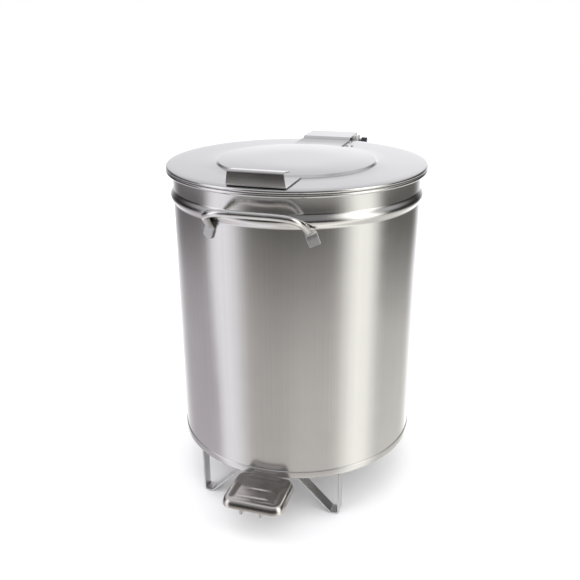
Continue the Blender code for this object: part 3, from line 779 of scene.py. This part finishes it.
def turned(node, name, outline, mat, centre, across=False):
    """A round piece in place of a node, standing up or lying across."""
    if across:
        mesh = revolve_across(name, outline, 48, centre)
    else:
        mesh = revolve(name, outline, 48, closed=False, centre=centre)
    return piece(name, mesh, BODY_OF[node], [node], mat)


def lift_rod():
    """Rod with its domed nylon cap."""
    low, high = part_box("lift_rod")
    centre = ((low.x + high.x) / 2, (low.y + high.y) / 2)
    turned("lift_rod", "lift_rod_bar", bar_outline(high.x, low.z, high.z, 0.0004), ROD_STEEL,
           centre)
    low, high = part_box("rod_cap")
    radius = high.x
    dome = [(0.0, high.z)] + arc(0.0, high.z - radius, radius, 80, 0, 8)
    dome += [(radius, low.z + 0.0004), (radius - 0.0004, low.z), (0.0, low.z)]
    turned("rod_cap", "rod_cap_dome", dome, BLACK_NYLON, centre)


def cross_pins():
    """The pins that lie across: pedal axle, rod pin and headed hinge pin."""
    for node in ("pedal_axle", "rod_pin", "hinge_pin"):
        low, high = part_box(node)
        centre = Vector((0, (low.y + high.y) / 2, (low.z + high.z) / 2))
        radius = (high.z - low.z) / 2
        outline = bar_outline(radius, low.x, high.x, 0.0006)
        if node == "hinge_pin":
            neck = low.x + HINGE_PIN_HEAD
            outline = [(0.0, high.x), (HINGE_PIN_R - 0.0005, high.x),
                       (HINGE_PIN_R, high.x - 0.0005), (HINGE_PIN_R, neck), (radius, neck),
                       (radius, low.x + 0.0012), (radius - 0.0012, low.x), (0.0, low.x)]
        turned(node, node + "_bar", outline, PIN_STEEL, centre, across=True)


def plates_and_nuts():
    """Flat-sided and ring-shaped nodes, each with finely rounded edges."""
    for mat, bevel, nodes in (
            (PLATE_STEEL, 0.0005, ("body_hinge_bracket", "lower_rod_guide")),
            (LEG_STEEL, 0.0006, ("pedal_hanger", "lift_finger", "lever_arm_left",
                                 "lever_arm_right")),
            (LEG_STEEL, 0.0008, ("rod_eye",)),
            (PIN_STEEL, 0.0006, ("rod_lock_nut",)),
            (BLACK_NYLON, 0.0006, ("hinge_nut", "hinge_lock_nut")),
            (PIN_STEEL, 0.0002, ("axle_clip_left", "axle_clip_right", "rod_pin_clip_left",
                                 "rod_pin_clip_right")),
            (PALE_NYLON, 0.0002, ("pivot_washer_left", "pivot_washer_right",
                                  "hinge_washer_left", "hinge_washer_right")),
            (PIN_STEEL, 0.0003, ("pivot_tube",)),
            (PALE_NYLON, 0.0003, ("upper_guide_bush", "lower_guide_bush")),
            (PIN_STEEL, 0.0001, ("lid_rivet_inner", "lid_rivet_outer"))):
        for node in nodes:
            refined(node, bevel, mat)


# ------------------------------------------------------------------ studio

# Brightness that steel mirrors, as (place, level). Places for the table in front are slopes
# of the ray below the horizon, places at the sides are parts of a right angle below it, and
# places on the backdrop are parts of BACKDROP_SPAN degrees above it.
STUDIO_TURN = math.radians(16.5)
GLOW_REACH = 2.0
FRONT_GLOW = ((0.0, 0.03), (0.25, 0.07), (0.298, 0.127), (0.306, 0.17), (0.315, 0.208),
              (0.324, 0.23), (0.342, 0.27), (0.360, 0.302), (0.378, 0.337), (0.398, 0.36),
              (0.408, 0.42), (0.416, 0.458), (0.435, 0.479), (0.464, 0.49), (0.475, 0.546),
              (0.494, 0.57), (0.534, 0.60), (0.57, 0.62), (0.68, 0.64), (1.2, 0.80), (2.0, 0.95))
LEFT_GLOW = ((0.0, 0.03), (0.12, 0.12), (0.18, 0.23), (0.22, 0.45), (0.27, 0.55), (0.36, 0.58),
             (0.7, 0.95))
RIGHT_GLOW = ((0.0, 0.03), (0.12, 0.12), (0.18, 0.19), (0.22, 0.42), (0.27, 0.72), (0.36, 0.84),
              (0.7, 0.95))
BACKDROP_SPAN = 30.0
BACKDROP_FADE = ((0.0, 1.0), (0.24, 0.80), (0.32, 0.733), (0.39, 0.667), (0.45, 0.56),
                 (0.60, 0.467))
BACKDROP_GLOW = 1.5
CEILING = (0.75, 0.75, 0.77, 1.0)
AMBIENT = (1.62, 1.62, 1.64, 1.0)
WHITE = (1.0, 1.0, 1.0, 1.0)


def studio_glow(nodes):
    """What steel mirrors: a lit table, a dark room, two tall soft lights, a bright backdrop."""
    spin = nodes.add("ShaderNodeMapping")
    nodes.link(nodes.add("ShaderNodeTexCoord").outputs["Generated"], spin.inputs["Vector"])
    spin.inputs["Rotation"].default_value = (0.0, 0.0, math.pi / 2 - STUDIO_TURN)
    parts = nodes.add("ShaderNodeSeparateXYZ")
    nodes.link(spin.outputs[0], parts.inputs[0])
    ahead, right, up = parts.outputs
    # Degrees round from the front to the right, and degrees above the horizon.
    turn = nodes.math("MULTIPLY", nodes.math("ARCTAN2", right, ahead), 180 / math.pi)
    turned_off = nodes.math("ABSOLUTE", turn)
    rise = nodes.math("MULTIPLY", nodes.math("ARCSINE", up), 180 / math.pi)
    down = nodes.math("DIVIDE", nodes.math("MULTIPLY", rise, -1.0), 90.0)

    # The table's slopes are stretched sideways, so its edges mirror as wide bows.
    flat = nodes.math("SQRT", nodes.math("MULTIPLY_ADD", ahead, ahead,
                                         nodes.math("MULTIPLY", right, right)))
    flat = nodes.math("MAXIMUM", flat, 0.001)
    facing = nodes.math("MAXIMUM", nodes.math("DIVIDE", ahead, flat), 0.05)
    slope = nodes.math("MULTIPLY", nodes.math("DIVIDE", up, flat), -1.0)
    near = nodes.math("DIVIDE", slope, nodes.math("POWER", facing, 0.4))
    near = nodes.math("DIVIDE", near, GLOW_REACH)
    front = nodes.ramp(near, [(place / GLOW_REACH, level) for place, level in FRONT_GLOW])
    front = nodes.math("MULTIPLY", front, nodes.ease(turn, -25.0, 8.0, 0.93, 1.1))
    lit = nodes.mix_colour(nodes.ease(turn, -62.0, -88.0), nodes.tint(front, (1.04, 1.0, 0.96)),
                           nodes.tint(nodes.ramp(down, LEFT_GLOW), (1.06, 1.0, 1.05)))
    lit = nodes.mix_colour(nodes.ease(turn, 66.0, 84.0), lit,
                           nodes.tint(nodes.ramp(down, RIGHT_GLOW), (1.02, 1.0, 0.95)))

    # The room grows lighter upwards, and sooner to the sides.
    lit = nodes.mix_colour(nodes.ease(rise, 6.0, 34.0, 0.0, 0.3), lit, CEILING)
    beside = nodes.math("MULTIPLY", nodes.ease(rise, 12.0, 38.0),
                        nodes.ease(turned_off, 62.0, 105.0))
    above = nodes.math("MAXIMUM", nodes.ease(rise, 48.0, 68.0), beside)
    lit = nodes.mix_colour(above, lit, CEILING)

    # Two tall lights; the left one drifts a little to the right towards the table.
    light_height = nodes.ease(rise, 60.0, 40.0)
    drift = nodes.math("SUBTRACT", turn, nodes.ease(rise, -19.0, -31.0, 0.0, 7.0))
    left_light = nodes.math("MULTIPLY", nodes.ease(drift, -95.0, -81.0),
                            nodes.ease(turn, -42.0, -68.0))
    lit = nodes.mix_colour(nodes.math("MULTIPLY", left_light, light_height), lit,
                           nodes.tint(nodes.ease(rise, -14.0, 0.0, 1.17, 1.5),
                                      (1.0, 0.99, 1.04)))
    right_light = nodes.math("MULTIPLY", nodes.ease(turn, 32.0, 60.0),
                             nodes.ease(turn, 89.0, 66.0))
    lit = nodes.mix_colour(nodes.math("MULTIPLY", right_light, light_height), lit,
                           nodes.tint(nodes.ease(rise, -14.0, 0.0, 1.42, 2.4),
                                      (1.01, 1.0, 0.955)))

    # The backdrop fades upwards and is a little brighter on the right.
    fade = nodes.ramp(nodes.math("DIVIDE", rise, BACKDROP_SPAN), BACKDROP_FADE)
    fade = nodes.math("MULTIPLY", fade, BACKDROP_GLOW)
    lean = nodes.math("MULTIPLY_ADD", right, 0.5, 1.0)
    around = nodes.math("SUBTRACT", turned_off, nodes.ease(rise, -20.0, -15.0, 0.0, 6.0))
    behind = nodes.math("MULTIPLY", nodes.ease(around, 128.0, 166.0),
                        nodes.ease(rise, 75.0, 50.0))
    return nodes.mix_colour(behind, lit,
                            nodes.tint(nodes.math("MULTIPLY", fade, lean), (0.99, 0.985, 1.02)))


def world():
    """White to look at, even soft light for dull surfaces, the studio glow for steel."""
    env = bpy.data.worlds.new("studio")
    bpy.context.scene.world = env
    env.use_nodes = True
    env.node_tree.nodes.clear()
    nodes = Nodes(env.node_tree)
    ray = nodes.add("ShaderNodeLightPath")
    shown = nodes.mix_colour(ray.outputs["Is Diffuse Ray"], studio_glow(nodes), AMBIENT)
    shown = nodes.mix_colour(ray.outputs["Is Camera Ray"], shown, WHITE)
    background = nodes.add("ShaderNodeBackground")
    nodes.link(shown, background.inputs[0])
    output = nodes.add("ShaderNodeOutputWorld")
    nodes.link(background.outputs[0], output.inputs[0])


def floor_material():
    """White table that mirrors a little near the bin and not at all farther off."""
    mat, nodes, shader = new_material("table_white")
    place = nodes.add("ShaderNodeTexCoord").outputs["Object"]
    clouds = nodes.noise(place, 3.0, 2.0, 0.5)
    nodes.link(nodes.mix_colour(clouds, (0.93, 0.93, 0.935, 1.0), (0.945, 0.945, 0.95, 1.0)),
               shader.inputs["Base Color"])
    nodes.link(nodes.ease(clouds, 0.3, 0.7, 0.03, 0.06), shader.inputs["Roughness"])
    distance = nodes.add("ShaderNodeVectorMath", operation="LENGTH")
    nodes.link(place, distance.inputs[0])
    nodes.link(nodes.ease(distance.outputs["Value"], 0.35, 0.9, 0.4, 0.0),
               shader.inputs["Specular IOR Level"])
    return mat


def floor():
    """Pale table, and a patch under the bin that only the steel's reflections see."""
    mat = floor_material()
    for name, radius, depth in (("table", 4.0, 0.0002), ("table_patch", 0.22, 0.0001)):
        bm = bmesh.new()
        bmesh.ops.create_circle(bm, cap_ends=True, segments=96, radius=radius)
        mesh = bpy.data.meshes.new(name)
        bm.to_mesh(mesh)
        bm.free()
        mesh.materials.append(mat)
        obj = bpy.data.objects.new(name, mesh)
        bpy.context.scene.collection.objects.link(obj)
        obj.location.z = cad_low.z - depth
        patch = name == "table_patch"
        obj.visible_glossy = patch
        obj.visible_camera = not patch
        obj.visible_diffuse = not patch
        obj.visible_shadow = not patch


CAMERA_PLACE = (0.3234, -1.0918, 0.7499)
CAMERA_TURN = math.radians(17.069)
CAMERA_PITCH = math.radians(68.793)
CAMERA_ROLL = math.radians(-0.307)


def camera():
    """Camera in front, a little to the right, looking down by about 21 degrees."""
    data = bpy.data.cameras.new("camera")
    data.sensor_width = 36.0
    data.lens = 46.11
    obj = bpy.data.objects.new("camera", data)
    bpy.context.scene.collection.objects.link(obj)
    obj.location = CAMERA_PLACE
    turn = Matrix.Rotation(CAMERA_TURN, 3, "Z")
    pitch = Matrix.Rotation(CAMERA_PITCH, 3, "X")
    roll = Matrix.Rotation(CAMERA_ROLL, 3, "Z")
    obj.rotation_euler = (turn @ pitch @ roll).to_euler()
    bpy.context.scene.camera = obj


bpy.context.scene.view_settings.view_transform = "Standard"
body_wall()
bottom()
bucket()
leg_bar("front_leg", "front_leg_bar")
leg_bar("rear_leg", "rear_leg_bar")
carry_handle()
lid_sheet()
lid_grip()
hinge_plate()
pedal_pad()
lift_rod()
cross_pins()
plates_and_nuts()
world()
floor()
camera()
